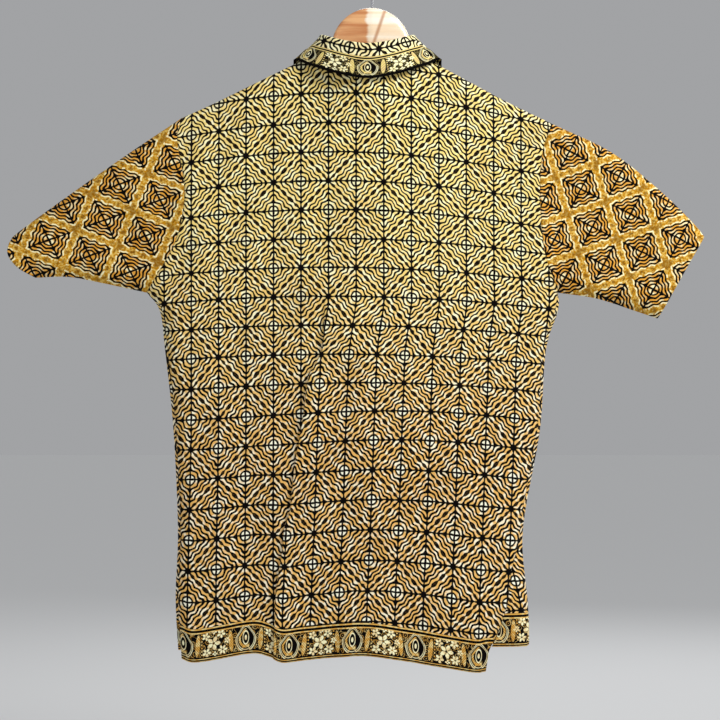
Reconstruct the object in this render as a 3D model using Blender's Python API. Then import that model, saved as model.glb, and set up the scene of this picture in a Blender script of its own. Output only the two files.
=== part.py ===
"""A short-sleeved batik shirt, hanging flat on a wooden clothes hanger.

The frame: +Z is up, the back of the shirt faces -Y, and the origin is the inside of
the hook's crest, where the hanger rests on its rail.  Sizes below are in millimetres.
A place on the garment is given by "across", its distance to the right of the hook
seen from behind, and "drop", its distance below the crown of the wooden hanger.
"""

import math
from collections import namedtuple

import bmesh
import bpy
import numpy as np

MM = 0.001
BACK, FRONT = -1, 1

# ---------------------------------------------------------------- driving sizes
CROWN = 62.0            # from the inside of the hook's crest down to the hanger's crown
CLOTH = 1.5             # thickness of a cloth wall
SEAM = 0.3              # gap between two pieces that are sewn together
BODY_DEPTH = 18.0       # half the thickness of the hanging body
SHOULDER_DEPTH = 11.0   # the same over the hanger's arms
SLEEVE_DEPTH = 15.0     # the same in the sleeves
OPENING_OUT = 120.0     # how far below the shoulder the body reaches its full depth
NECK_BULGE = 13.0       # extra half depth round the neck
NECK_LEVEL = 80.0       # drop at which that is greatest
NECK_SPREAD = (48.0, 62.0)      # and how far it reaches, across and down
SLEEVE_FROM, SLEEVE_BLEND = 225.0, 50.0     # from the middle: where the sleeves' depth begins
SLEEVE_FOOT = 460.0     # drop below every sleeve
TOP_ROLL = 16.0         # how far from the shoulder fold the cloth has turned flat
SIDE_ROLL = 26.0        # the same at the sides and under the sleeves
HANGER_BEND = 0.10      # how fast the two arms of the hanger lean towards the front
HANGER_REACH = 26.0     # the furthest that the cloth follows them
HANGER_SET_BACK = 3.0   # how far the hanger's crown and hook lie behind the cloth's middle
CENTRE = -6.0           # across, the middle of the shirt
OVERLAP = 15.0          # how far each front passes the middle
LAP_LIFT = 2.3          # how far the upper front stands off the lower one
LAP_BLEND = (17.0, 60.0)

SHOULDER_ROWS, ARMHOLE_ROWS, SIDE_ROWS, VENT_ROWS = 6, 10, 8, 3
BACK_COLUMNS, FRONT_COLUMNS, WRAP_COLUMNS, SLEEVE_STATIONS = 26, 13, 2, 8
UNDERARM_ROW = SHOULDER_ROWS + ARMHOLE_ROWS
HEM_ROW = UNDERARM_ROW + SIDE_ROWS + VENT_ROWS

# Lines of the shirt seen from behind, as (across, drop) of the points they pass.
Lines = namedtuple("Lines", "shoulder armhole sleeve_top cuff sleeve_under side")
LEFT = Lines(
    shoulder=[(-66, 56), (-124, 83), (-205, 122), (-252, 143)],
    armhole=[(-252, 143), (-257, 172), (-249, 222), (-248, 256), (-260, 308), (-298, 374)],
    sleeve_top=[(-252, 143), (-320, 188), (-395, 240), (-468, 293), (-480, 306)],
    cuff=[(-480, 306), (-481, 324), (-468, 341), (-446, 354)],
    sleeve_under=[(-446, 354), (-403, 353), (-358, 361), (-298, 374)],
    side=[(-298, 374), (-281, 398), (-274, 450), (-263, 555), (-257, 686), (-260, 777),
          (-256, 857)])
RIGHT = Lines(
    shoulder=[(57, 59), (104, 83), (178, 122), (237, 150)],
    armhole=[(237, 150), (224, 192), (221, 250), (227, 320), (246, 374)],
    sleeve_top=[(237, 150), (317, 188), (383, 240), (425, 281), (440, 299)],
    cuff=[(440, 299), (419, 335), (396, 376), (378, 408)],
    sleeve_under=[(378, 408), (351, 399), (298, 382), (246, 374)],
    side=[(246, 374), (246, 398), (230, 450), (222, 555), (203, 660), (199, 712),
          (206, 785), (208, 835)])

# Where each side seam runs on the back: drop, and how far in from the side's edge.
SIDE_SEAM_LEFT = [(374, 0), (392, 4), (857, 4)]
SIDE_SEAM_RIGHT = [(374, 0), (392, 4), (700, 4), (747, 20), (784, 28), (821, 42),
                   (845, 54), (872, 58)]
VENT_TOP = 812          # drop at which each side seam ends in a short vent
VENT_GAP = 1.2          # between the two edges of a vent

# The lower edges, as (across, drop).
BACK_HEM = [(-252, 857), (-230, 861), (-162, 849), (-137, 852), (-118, 860), (-86, 857),
            (-11, 851), (51, 859), (130, 873), (150, 872)]
FRONT_HEM_LEFT, FRONT_HEM_RIGHT = 846, 840
NECK_SCOOP_BACK, NECK_SCOOP_FRONT = 20, 75
NECK_HALF, NECK_POINT = 61.5, 57.5      # half the width of the neck, and its corners' drop

# The longest folds: the line they follow, how far they stand out and how wide they are.
Fold = namedtuple("Fold", "top foot rise width")
BACK_FOLDS = [
    Fold(top=(-62, 400), foot=(-118, 860), rise=-7.0, width=20.0),
    Fold(top=(-30, 640), foot=(-34, 860), rise=-2.5, width=14.0),
    Fold(top=(130, 620), foot=(96, 872), rise=-4.0, width=34.0),
]
FRONT_FOLDS = [
    Fold(top=(110, 430), foot=(128, 850), rise=6.0, width=26.0),
    Fold(top=(-150, 520), foot=(-176, 850), rise=5.0, width=24.0),
]

# The collar, a row for each section from the middle of the back round to the front end:
# the fold line and the edge of the fall, each as distance out from the middle of the
# shirt, distance towards the front, and drop.
CollarSection = namedtuple("CollarSection", "fold_out fold_y fold_drop edge_out edge_y edge_drop")
COLLAR = [
    CollarSection(0, -31, 50, 0, -34, 95.5),
    CollarSection(28, -28, 46.5, 38, -31, 89.5),
    CollarSection(50, -17, 40, 76, -17, 77),
    CollarSection(61, 2, 36, 97, 6, 68.5),
    CollarSection(54, 19, 46, 92, 27, 100),
    CollarSection(36, 30, 78, 78, 36, 150),
    CollarSection(5, 34, 116, 50, 38, 186),
]
COLLAR_STATIONS = 28
COLLAR_RISE = 1.8       # from the panels' top edges to the collar's own
NECK_OVAL = (60.0, 30.0)        # half width and half depth of the fold line, near enough
FOLD_RADIUS = 2.2
FALL_CLEARANCE = 2.6    # from a panel to the middle of the fall's wall

BUTTONS, FIRST_BUTTON, BUTTON_SPACING = 6, 158, 104
BUTTON_RADIUS, BUTTON_THICKNESS = 5.6, 2.6

# The hanger: its crown is an arc, and its arms follow these (across, top, bottom) drops.
CROWN_RADIUS = 52.0
WOOD_HALF = 6.0
HANGER_TILT = math.radians(1.7)
ARM = [(52.5, 62, 104), (66, 68, 107), (124, 95, 128), (205, 135, 162), (219, 144, 157)]
CROWN_HOLLOW, HOLLOW_HALF = 3.0, 35.0       # the shallow arch under the crown
WIRE_RADIUS, HOOK_RADIUS, HOOK_BEND = 1.7, 21.7, 6.0
HOOK_END = math.radians(196)    # how far round the crest the wire goes, from the right

COLOURS = {
    "cloth": (0.52, 0.36, 0.10), "cloth_front": (0.47, 0.33, 0.10),
    "cloth_sleeve": (0.48, 0.30, 0.05), "collar": (0.33, 0.24, 0.08),
    "button": (0.22, 0.13, 0.07), "wood": (0.66, 0.42, 0.22), "steel": (0.60, 0.60, 0.62),
}


# ---------------------------------------------------------------- curves and fields
def smooth(t):
    t = np.clip(t, 0, 1)
    return t * t * (3 - 2 * t)


def even(count):
    return np.linspace(0, 1, count + 1)


def towards_ends(count, pull=1.0):
    """Fractions from 0 to 1 that lie closer together at both ends."""
    t = even(count)
    return (1 - pull) * t + pull * (1 - np.cos(math.pi * t)) / 2


def curve(points, fractions, fine=24):
    """Points on a smooth curve through the given ones, at these fractions of its length."""
    knots = np.array(points, float)
    knots = np.vstack([2 * knots[0] - knots[1], knots, 2 * knots[-1] - knots[-2]])
    step = np.linspace(0, 1, fine, endpoint=False)[:, None]
    pieces = []
    for a, b, c, d in zip(knots, knots[1:], knots[2:], knots[3:]):
        bend = 2 * a - 5 * b + 4 * c - d + step * (3 * (b - c) + d - a)
        pieces.append(b + 0.5 * step * (c - a + step * bend))
    path = np.vstack(pieces + [knots[-2:-1]])
    length = np.r_[0, np.cumsum(np.linalg.norm(np.diff(path, axis=0), axis=1))]
    wanted = np.asarray(fractions) * length[-1]
    return np.column_stack([np.interp(wanted, length, column) for column in path.T])


def distance(across, drop, path):
    """Distance from each place to a polyline."""
    place = np.stack([across, drop], axis=-1)[..., None, :]
    start, run = path[:-1], np.diff(path, axis=0)
    along = np.clip(((place - start) * run).sum(-1) / (run * run).sum(-1), 0, 1)
    return np.linalg.norm(place - start - along[..., None] * run, axis=-1).min(-1)


def closing_line(lines, first, second):
    start, rest = getattr(lines, first), getattr(lines, second)
    return np.vstack([curve(start, even(30)), curve(rest, even(30))[1:]])


TOP_FOLDS = [closing_line(lines, "shoulder", "sleeve_top") for lines in (LEFT, RIGHT)]
LOW_FOLDS = [closing_line(lines, "sleeve_under", "side") for lines in (LEFT, RIGHT)]
OUTLINE = np.vstack([TOP_FOLDS[0], curve(LEFT.cuff, even(9)), LOW_FOLDS[0],
                     LOW_FOLDS[1][::-1], curve(RIGHT.cuff, even(9))[::-1], TOP_FOLDS[1][::-1]])


def inside(across, drop):
    """Whether each place lies within the outline, by counting crossings to its right."""
    place_x, place_d = across[..., None], drop[..., None]
    x1, d1 = OUTLINE.T
    x2, d2 = np.roll(OUTLINE, -1, axis=0).T
    spans = (d1 > place_d) != (d2 > place_d)
    rise = np.where(d2 == d1, 1, d2 - d1)
    crossing = x1 + (place_d - d1) * (x2 - x1) / rise
    return (spans & (crossing > place_x)).sum(-1) % 2 == 1


def closeness(across, drop):
    """Distance to the nearest closing fold, negative outside the garment."""
    nearest = np.min([distance(across, drop, path) for path in TOP_FOLDS + LOW_FOLDS], axis=0)
    return np.where(inside(across, drop), nearest, -nearest)


def roll(share):
    """Depth of a quarter round: 0 on the closing fold and 1 where the cloth is flat."""
    return np.sqrt(1 - (1 - np.clip(share, 0, 1)) ** 2)


def half_depth(across, drop):
    """Half the garment's thickness at a place; 0 along the folds that close it."""
    top = np.minimum(*[distance(across, drop, path) for path in TOP_FOLDS])
    low = np.minimum(*[distance(across, drop, path) for path in LOW_FOLDS])
    body = SHOULDER_DEPTH + (BODY_DEPTH - SHOULDER_DEPTH) * smooth(top / OPENING_OUT)
    in_sleeve = smooth((np.abs(across - CENTRE) - SLEEVE_FROM) / SLEEVE_BLEND)
    depth = body + (SLEEVE_DEPTH - body) * in_sleeve * (drop < SLEEVE_FOOT)
    neck = np.exp(-((across - CENTRE) / NECK_SPREAD[0]) ** 2
                  - ((drop - NECK_LEVEL) / NECK_SPREAD[1]) ** 2)
    return (depth + NECK_BULGE * neck) * roll(top / TOP_ROLL) * roll(low / SIDE_ROLL)


def middle(across):
    """How far the middle of the garment leans towards the front, following the hanger."""
    lean = HANGER_BEND * (np.hypot(across, 40) - 40)
    return HANGER_REACH * np.tanh(lean / HANGER_REACH)


def folds(across, drop, side):
    """How far the long folds move the cloth, each growing from its top to its foot."""
    moved = np.zeros_like(across)
    for fold in BACK_FOLDS + FRONT_FOLDS:
        share = (drop - fold.top[1]) / (fold.foot[1] - fold.top[1])
        line = fold.top[0] + share * (fold.foot[0] - fold.top[0])
        shape = np.exp(-((across - line) / fold.width) ** 2) * smooth(share)
        moved += fold.rise * shape * (side == (BACK if fold in BACK_FOLDS else FRONT))
    return moved


def surface(across, drop, side):
    """Points on the outside of the garment."""
    y = middle(across) + side * half_depth(across, drop) + folds(across, drop, side)
    return np.stack([across, y, drop], axis=-1)


def outward(across, drop, side, step=0.5):
    """Unit normals of that surface."""
    slope_x = (surface(across + step, drop, side) - surface(across - step, drop, side))[..., 1]
    slope_d = (surface(across, drop + step, side) - surface(across, drop - step, side))[..., 1]
    normal = np.stack([-side * slope_x / (2 * step), side, -side * slope_d / (2 * step)], axis=-1)
    return normal / np.linalg.norm(normal, axis=-1, keepdims=True)


def off_the_edge(across, drop, step=0.5):
    """Unit directions, level with the sheet, that point out of the garment's outline."""
    out_x = closeness(across - step, drop) - closeness(across + step, drop)
    out_d = closeness(across, drop - step) - closeness(across, drop + step)
    normal = np.stack([out_x, np.zeros_like(out_x), out_d], axis=-1)
    return normal / np.linalg.norm(normal, axis=-1, keepdims=True)


# ---------------------------------------------------------------- meshes
def material(name, roughness=0.85, metallic=0.0):
    made = bpy.data.materials.get(name) or bpy.data.materials.new(name)
    made.use_nodes = True
    shader = made.node_tree.nodes["Principled BSDF"]
    shader.inputs["Base Color"].default_value = (*COLOURS[name], 1)
    shader.inputs["Roughness"].default_value = roughness
    shader.inputs["Metallic"].default_value = metallic
    return made


def make_object(name, points, faces, finish):
    """An object from (across, towards the front, drop) points; its faces made to point out."""
    places = np.array(points, float)
    places[:, 1] += HANGER_SET_BACK
    places[:, 2] = -CROWN - places[:, 2]
    mesh = bpy.data.meshes.new(name)
    mesh.from_pydata((places * MM).tolist(), [], faces)
    model = bmesh.new()
    model.from_mesh(mesh)
    bmesh.ops.triangulate(model, faces=model.faces)
    bmesh.ops.recalc_face_normals(model, faces=model.faces)
    if model.calc_volume(signed=True) < 0:
        bmesh.ops.reverse_faces(model, faces=model.faces)
    model.to_mesh(mesh)
    model.free()
    mesh.shade_smooth()
    mesh.set_sharp_from_angle(angle=math.radians(40))
    mesh.materials.append(finish)
    made = bpy.data.objects.new(name, mesh)
    bpy.context.scene.collection.objects.link(made)
    return made


def wall(name, outer, inner, finish, closed=False):
    """A wall between two grids of points; closed when its rows are rings."""
    rows, columns = outer.shape[:2]
    layer = rows * columns
    last = columns if closed else columns - 1

    def at(row, column, deep):
        return deep * layer + row * columns + column % columns

    faces = []
    for row in range(rows - 1):
        for column in range(last):
            for deep in (0, 1):
                faces.append((at(row, column, deep), at(row, column + 1, deep),
                              at(row + 1, column + 1, deep), at(row + 1, column, deep)))
    for row in (0, rows - 1):
        for column in range(last):
            faces.append((at(row, column, 0), at(row, column + 1, 0),
                          at(row, column + 1, 1), at(row, column, 1)))
    if not closed:
        for column in (0, columns - 1):
            for row in range(rows - 1):
                faces.append((at(row, column, 0), at(row + 1, column, 0),
                              at(row + 1, column, 1), at(row, column, 1)))
    points = np.vstack([outer.reshape(-1, 3), inner.reshape(-1, 3)])
    return make_object(name, points, faces, finish)


# ---------------------------------------------------------------- body panels
def row_ends(lines, seam, hem_drop, sign):
    """For each row of a body panel: the outline's point and the seam's distance from it."""
    armhole = beside(curve(lines.armhole, towards_ends(ARMHOLE_ROWS)), sign * SEAM / 2)
    upper = np.vstack([curve(lines.shoulder, even(SHOULDER_ROWS))[:-1], armhole])
    path = curve(lines.side, even(400))
    drops = np.r_[np.linspace(lines.side[0][1], VENT_TOP, SIDE_ROWS + 1)[1:],
                  np.linspace(VENT_TOP, hem_drop, VENT_ROWS + 1)[1:]]
    lower = np.column_stack([np.interp(drops, path[:, 1], path[:, 0]), drops])
    seam_drop, seam_inset = zip(*seam)
    inset = np.interp(drops, seam_drop, seam_inset)
    return np.vstack([upper, lower]), np.r_[np.zeros(len(upper)), inset]


def beside(path, distance_out):
    """The path moved sideways, to its left going down where the distance is negative."""
    run = np.gradient(path, axis=0)
    normal = np.column_stack([run[:, 1], -run[:, 0]])
    return path + distance_out * normal / np.linalg.norm(normal, axis=1, keepdims=True)


def lap_lift(across, side):
    """How far the upper front stands off, where it laps over the lower one."""
    near, far = LAP_BLEND
    return LAP_LIFT * (side > 0) * (1 - smooth((np.abs(across - CENTRE) - near) / (far - near)))


def half_gaps():
    """Half the gap at a side's seam or vent, for each row of a panel."""
    row = np.arange(HEM_ROW + 1)
    gap = np.where(row > UNDERARM_ROW, SEAM, 0.0)
    gap[row > HEM_ROW - VENT_ROWS] = VENT_GAP
    return gap / 2


def faces_of(across, drop, side, closing):
    """Outer and inner points of a panel, which ends half a seam off the closing folds.

    closing lists the columns of the grid that meet the fold, with the panel's side there.
    """
    outer = surface(across, drop, side)
    normal = outward(across, drop, side)
    rows = list(range(SHOULDER_ROWS + 1)) + [UNDERARM_ROW]
    for column, facing in closing:
        edge_x, edge_d = across[rows, column], drop[rows, column]
        outer[rows, column, 1] = middle(edge_x) + facing * SEAM / 2
        normal[rows, column] = off_the_edge(edge_x, edge_d)
    return outer, outer - CLOTH * normal


def back_panel():
    left, left_inset = row_ends(LEFT, SIDE_SEAM_LEFT, BACK_HEM[0][1], 1)
    right, right_inset = row_ends(RIGHT, SIDE_SEAM_RIGHT, BACK_HEM[-1][1], -1)
    left[:, 0] += left_inset + half_gaps()
    right[:, 0] -= right_inset + half_gaps()
    share = towards_ends(BACK_COLUMNS, 0.8)
    row = np.arange(HEM_ROW + 1)[:, None]
    across = left[:, :1] + (right[:, :1] - left[:, :1]) * share
    drop = left[:, 1:] + (right[:, 1:] - left[:, 1:]) * share
    neck = np.clip(1 - row / SHOULDER_ROWS, 0, 1) ** 1.2
    drop = drop + NECK_SCOOP_BACK * neck * (1 - np.abs(2 * share - 1) ** 2.6)
    hem_path = curve(BACK_HEM, even(200))
    hem = np.interp(across[-1], hem_path[:, 0], hem_path[:, 1]) - drop[-1]
    low = np.clip((row - UNDERARM_ROW) / (HEM_ROW - UNDERARM_ROW), 0, 1) ** 3
    drop = drop + low * hem
    side = np.full_like(across, BACK)
    outer, inner = faces_of(across, drop, side, [(0, BACK), (-1, BACK)])
    wall("back_panel", outer, inner, material("cloth"))
    return outer, inner


def front_panel(name, lines, seam, hem_drop, sign, upper):
    """One front; sign is +1 for the one that reaches from the left side to the right."""
    ends, inset = row_ends(lines, seam, hem_drop, sign)
    row = np.arange(HEM_ROW + 1)[:, None]
    wraps = inset[:, None] > 0
    step = np.arange(WRAP_COLUMNS + 1) / WRAP_COLUMNS
    first = np.where(wraps, (inset - half_gaps())[:, None] * (1 - step), 4.0 * step)
    share = towards_ends(FRONT_COLUMNS - WRAP_COLUMNS, 0.55)[1:]
    reach = np.abs(CENTRE + sign * OVERLAP - ends[:, :1])
    rest = first[:, -1:] + (reach - first[:, -1:]) * share
    inward = np.hstack([first, rest])
    side = np.ones_like(inward)
    side[:, :WRAP_COLUMNS] = np.where(wraps, BACK, FRONT)
    across = ends[:, :1] + sign * inward
    part = np.clip(inward / np.abs(CENTRE - ends[:, :1]), 0, 1) * (side > 0)
    calm = smooth(row / UNDERARM_ROW)
    shape = (1 - calm) * np.sqrt(1 - (1 - part) ** 2) + calm * smooth(part)
    scoop = NECK_SCOOP_FRONT * np.clip(1 - row / UNDERARM_ROW, 0, 1) ** 1.5
    drop = ends[:, 1:] + scoop * shape
    outer, inner = faces_of(across, drop, side, [(0, FRONT)])
    if upper:
        outer[..., 1] += lap_lift(across, side)
        inner[..., 1] += lap_lift(across, side)
    wall(name, outer, inner, material("cloth_front"))
    return outer, inner


# ---------------------------------------------------------------- sleeves
def sleeve(name, lines, sign):
    """A tube of rings from the armhole to the cuff; sign is -1 on the left."""
    around = towards_ends(ARMHOLE_ROWS)
    along = even(SLEEVE_STATIONS)
    head = beside(curve(lines.armhole, around), sign * SEAM / 2)
    cuff = curve(lines.cuff, around)
    top = curve(lines.sleeve_top, along)[:, None]
    under = curve(lines.sleeve_under[::-1], along)[:, None]
    top[0], under[0] = head[0], head[-1]
    u, v = along[:, None, None], around[None, :, None]
    corners = ((1 - u) * ((1 - v) * head[0] + v * head[-1])
               + u * ((1 - v) * cuff[0] + v * cuff[-1]))
    plan = (1 - u) * head + u * cuff + (1 - v) * top + v * under - corners
    ring = np.concatenate([plan, plan[:, -2:0:-1]], axis=1)
    side = np.ones(ring.shape[:2])
    side[:, :ARMHOLE_ROWS + 1] = BACK
    across, drop = ring[..., 0], ring[..., 1]
    outer = surface(across, drop, side)
    normals = outward(across, drop, side)
    for column in (0, ARMHOLE_ROWS):
        normals[:, column] = off_the_edge(across[:, column], drop[:, column])
        outer[:, column, 1] = middle(across[:, column])
    wall(name, outer, outer - CLOTH * normals, material("cloth_sleeve"), closed=True)


# ---------------------------------------------------------------- collar
def neck_seam(back, left_front, right_front):
    """The middle of the panels' top edges, from the left front round to the right one."""
    def edge(grids, columns):
        outer, inner = grids
        rim = (outer[0] + inner[0]) / 2
        below = (outer[1] + inner[1]) / 2
        up = (rim - below) / np.linalg.norm(rim - below, axis=-1, keepdims=True)
        return (rim + COLLAR_RISE * up)[columns]

    from_left = edge(left_front, slice(None))
    from_right = edge(right_front, slice(None))
    from_left = from_left[from_left[:, 0] < CENTRE - 1][::-1]
    from_right = from_right[from_right[:, 0] > CENTRE + 1]
    across_back = edge(back, slice(1, -1))
    return np.vstack([from_left, across_back, from_right])


def neckline(across, side):
    """Drop of the panels' top edge between the two shoulders."""
    out = np.clip(np.abs(across - CENTRE) / NECK_HALF, 0, 1)
    back = NECK_SCOOP_BACK * (1 - out ** 2.6)
    front = NECK_SCOOP_FRONT * np.sqrt(1 - out ** 2)
    return NECK_POINT + np.where(side > 0, front, back)


def off_the_panels(points):
    """Moves points of the collar's fall away from the panels until they clear them."""
    across, y, drop = points.T
    side = np.where(y < middle(across), BACK, FRONT)
    depth = half_depth(across, drop + FALL_CLEARANCE)
    over_panel = (depth > 0.3) & (drop > neckline(across, side) - 3)
    clear = np.where(over_panel, depth + FALL_CLEARANCE + lap_lift(across, side), 0)
    off = np.maximum(clear, side * (y - middle(across)))
    return np.column_stack([across, middle(across) + side * off, drop])


def collar(seam_points):
    half = np.array(COLLAR, float)
    ends_to_middle = half[::-1].copy()
    ends_to_middle[:, [0, 3]] *= -1
    sections = np.vstack([ends_to_middle, half[1:]])
    share = even(COLLAR_STATIONS)
    fold = curve(sections[:, :3], share)
    edge = np.column_stack([
        np.interp(share, np.linspace(0, 1, 400), column)
        for column in curve(sections[:, 3:], even(399)).T])
    seam = curve(seam_points, share, fine=6)
    for line in (fold, edge):
        line[:, 0] += CENTRE
    half_width, half_across = NECK_OVAL
    out = np.column_stack([(fold[:, 0] - CENTRE) / half_width ** 2,
                           fold[:, 1] / half_across ** 2, np.zeros(len(fold))])
    out /= np.linalg.norm(out, axis=1, keepdims=True)
    down = np.array([0, 0, FOLD_RADIUS])
    stand_top = fold - FOLD_RADIUS * out + down
    outside = fold + FOLD_RADIUS * out + down
    strip = [seam, (seam + stand_top) / 2, stand_top, fold, outside]
    for part in (0.25, 0.5, 0.75, 1.0):
        strip.append(off_the_panels(outside + part * (edge - outside)))
    grid = np.stack(strip, axis=1)
    along, over = np.gradient(grid, axis=0), np.gradient(grid, axis=1)
    normal = np.cross(along, over)
    normal /= np.linalg.norm(normal, axis=-1, keepdims=True)
    wall("collar", grid + CLOTH / 2 * normal, grid - CLOTH / 2 * normal, material("collar"))


# ---------------------------------------------------------------- buttons and hanger
def button(number):
    """A flat disc with a sunk middle, just off the lapped front."""
    drop = np.array([FIRST_BUTTON + BUTTON_SPACING * number], float)
    across = np.array([CENTRE])
    rest = surface(across, drop, np.array([FRONT]))[0, 1] + LAP_LIFT + 0.6
    profile = [(BUTTON_RADIUS - 0.6, 0), (BUTTON_RADIUS, 0.6), (BUTTON_RADIUS, 1.8),
               (BUTTON_RADIUS - 0.8, BUTTON_THICKNESS), (BUTTON_RADIUS - 1.8, 2.0)]
    turns = 12
    points = [(CENTRE + r * math.cos(2 * math.pi * k / turns), rest + y,
               drop[0] + r * math.sin(2 * math.pi * k / turns))
              for r, y in profile for k in range(turns)]
    faces = [tuple(range(turns)), tuple(range(len(points) - turns, len(points)))]
    for ring in range(len(profile) - 1):
        for k in range(turns):
            a, b = ring * turns + k, ring * turns + (k + 1) % turns
            faces.append((a, b, b + turns, a + turns))
    make_object(f"button_{number + 1}", points, faces, material("button", 0.35))


def tilt(points):
    """Turns points about the crown, so that the hanger's right arm hangs a little lower."""
    turned = np.array(points, float)
    x, drop = turned[..., 0].copy(), turned[..., 2].copy()
    turned[..., 0] = x * math.cos(HANGER_TILT) - drop * math.sin(HANGER_TILT)
    turned[..., 2] = drop * math.cos(HANGER_TILT) + x * math.sin(HANGER_TILT)
    return turned


def hanger_wood():
    """Rounded sections from the end of one arm over the crown to the end of the other."""
    arm = np.array(ARM, float)
    arm_across = curve(arm[:, :1], even(9))[:, 0]
    crown_across = CROWN_RADIUS * np.sin(np.linspace(0, math.pi / 2, 10)[:-1])
    half = np.r_[crown_across, arm_across]
    crown_top = CROWN_RADIUS - np.sqrt(CROWN_RADIUS ** 2 - crown_across ** 2)
    top = np.r_[crown_top, np.interp(arm_across, arm[:, 0], arm[:, 1])]
    hollow = CROWN_HOLLOW * np.cos(crown_across / HOLLOW_HALF)
    bottom = np.r_[arm[0, 2] - hollow,
                   np.interp(arm_across, arm[:, 0], arm[:, 2])]
    across = np.r_[-half[:0:-1], half]
    top, bottom = np.r_[top[:0:-1], top], np.r_[bottom[:0:-1], bottom]
    # A section's corners: across its thickness, and down it as a share of its height.
    corners = [(-1, 0.3), (-0.7, 0.06), (0, 0), (0.7, 0.06), (1, 0.3),
               (1, 0.8), (0.6, 0.97), (0, 1), (-0.6, 0.97), (-1, 0.8)]
    lean = np.minimum(HANGER_BEND * np.abs(across) - HANGER_SET_BACK, middle(across))
    rounding = np.minimum(10, (bottom - top) / 3)
    sections = []
    for thick, low in corners:
        from_top = np.where(low < 0.5, rounding * low / 0.3,
                            (bottom - top) - rounding * (1 - low) / 0.2)
        sections.append(np.column_stack([across, lean + WOOD_HALF * thick, top + from_top]))
    grid = tilt(np.stack(sections, axis=1))
    rows, columns = grid.shape[:2]
    faces = [tuple(range(columns)), tuple(range((rows - 1) * columns, rows * columns))]
    for row in range(rows - 1):
        for column in range(columns):
            a = row * columns + column
            b = row * columns + (column + 1) % columns
            faces.append((a, b, b + columns, a + columns))
    make_object("hanger_wood", grid.reshape(-1, 3), faces, material("wood", 0.3))


def hook_path():
    """The wire's centre line, up out of the wood, round a bend and over the crest."""
    centre_drop = -CROWN - WIRE_RADIUS + HOOK_RADIUS
    bend_drop = centre_drop + HOOK_RADIUS + HOOK_BEND
    path = [(0, 0, drop) for drop in np.linspace(-0.4, bend_drop, 6)]
    for angle in np.linspace(0, math.pi / 2, 6)[1:]:
        path.append((HOOK_BEND * (1 - math.cos(angle)), 0,
                     bend_drop - HOOK_BEND * math.sin(angle)))
    for angle in np.linspace(-math.pi / 2, HOOK_END, 22)[2:]:
        path.append((HOOK_RADIUS * math.cos(angle), 0,
                     centre_drop - HOOK_RADIUS * math.sin(angle)))
    return np.array(path)


def hanger_hook():
    path = hook_path()
    path[:, 1] = -HANGER_SET_BACK
    run = np.gradient(path, axis=0)
    run /= np.linalg.norm(run, axis=1, keepdims=True)
    forward = np.array([0, 1, 0])
    sideways = np.cross(run, forward)
    turns = 8
    points, faces = [], []
    for place, side in zip(path, sideways):
        for k in range(turns):
            angle = 2 * math.pi * k / turns
            points.append(place + WIRE_RADIUS * (math.cos(angle) * side
                                                 + math.sin(angle) * forward))
    for ring in range(len(path) - 1):
        for k in range(turns):
            a, b = ring * turns + k, ring * turns + (k + 1) % turns
            faces.append((a, b, b + turns, a + turns))
    faces += [tuple(range(turns)), tuple(range(len(points) - turns, len(points)))]
    make_object("hanger_hook", points, faces, material("steel", 0.25, 1.0))


def main():
    for leftover in list(bpy.data.objects):
        bpy.data.objects.remove(leftover)
    back = back_panel()
    left = front_panel("front_left", LEFT, SIDE_SEAM_LEFT, FRONT_HEM_LEFT, 1, upper=True)
    right = front_panel("front_right", RIGHT, SIDE_SEAM_RIGHT, FRONT_HEM_RIGHT, -1, upper=False)
    sleeve("sleeve_left", LEFT, -1)
    sleeve("sleeve_right", RIGHT, 1)
    collar(neck_seam(back, left, right))
    for number in range(BUTTONS):
        button(number)
    hanger_wood()
    hanger_hook()


main()
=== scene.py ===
"""The looks of a short-sleeved batik shirt that hangs on a wooden hanger.

Lengths here are millimetres until a mesh is made.  A place on the garment is given as in
the CAD part: "across" is its distance to the right of the hook seen from behind, and
"drop" its distance below the hanger's crown.  Each cloth piece is a grid of places, put
on the garment's surface and given soft creases.  Of its UV maps, "print" counts
the printed figure's repeats, "edge" is the distance along a border and up from it, and
"place" is across and drop; the last two are in metres.
"""

import math
from collections import namedtuple

import bmesh
import bpy
import numpy as np
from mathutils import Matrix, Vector

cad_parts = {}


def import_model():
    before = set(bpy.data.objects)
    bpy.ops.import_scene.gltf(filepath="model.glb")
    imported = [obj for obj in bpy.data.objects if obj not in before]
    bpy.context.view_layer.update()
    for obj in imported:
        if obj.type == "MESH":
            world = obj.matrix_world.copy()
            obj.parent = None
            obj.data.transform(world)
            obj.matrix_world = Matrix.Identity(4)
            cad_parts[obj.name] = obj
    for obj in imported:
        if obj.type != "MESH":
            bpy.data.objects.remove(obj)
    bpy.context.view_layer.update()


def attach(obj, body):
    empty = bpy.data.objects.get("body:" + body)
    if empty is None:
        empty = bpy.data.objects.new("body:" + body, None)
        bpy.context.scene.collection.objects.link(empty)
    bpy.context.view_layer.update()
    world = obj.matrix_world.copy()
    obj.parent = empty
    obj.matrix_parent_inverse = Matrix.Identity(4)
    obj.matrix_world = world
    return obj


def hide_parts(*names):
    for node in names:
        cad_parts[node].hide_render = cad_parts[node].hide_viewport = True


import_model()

MM = 0.001
BACK, FRONT = -1, 1
LOOK = "_look"          # ends the name of each piece that stands for a CAD node

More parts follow.
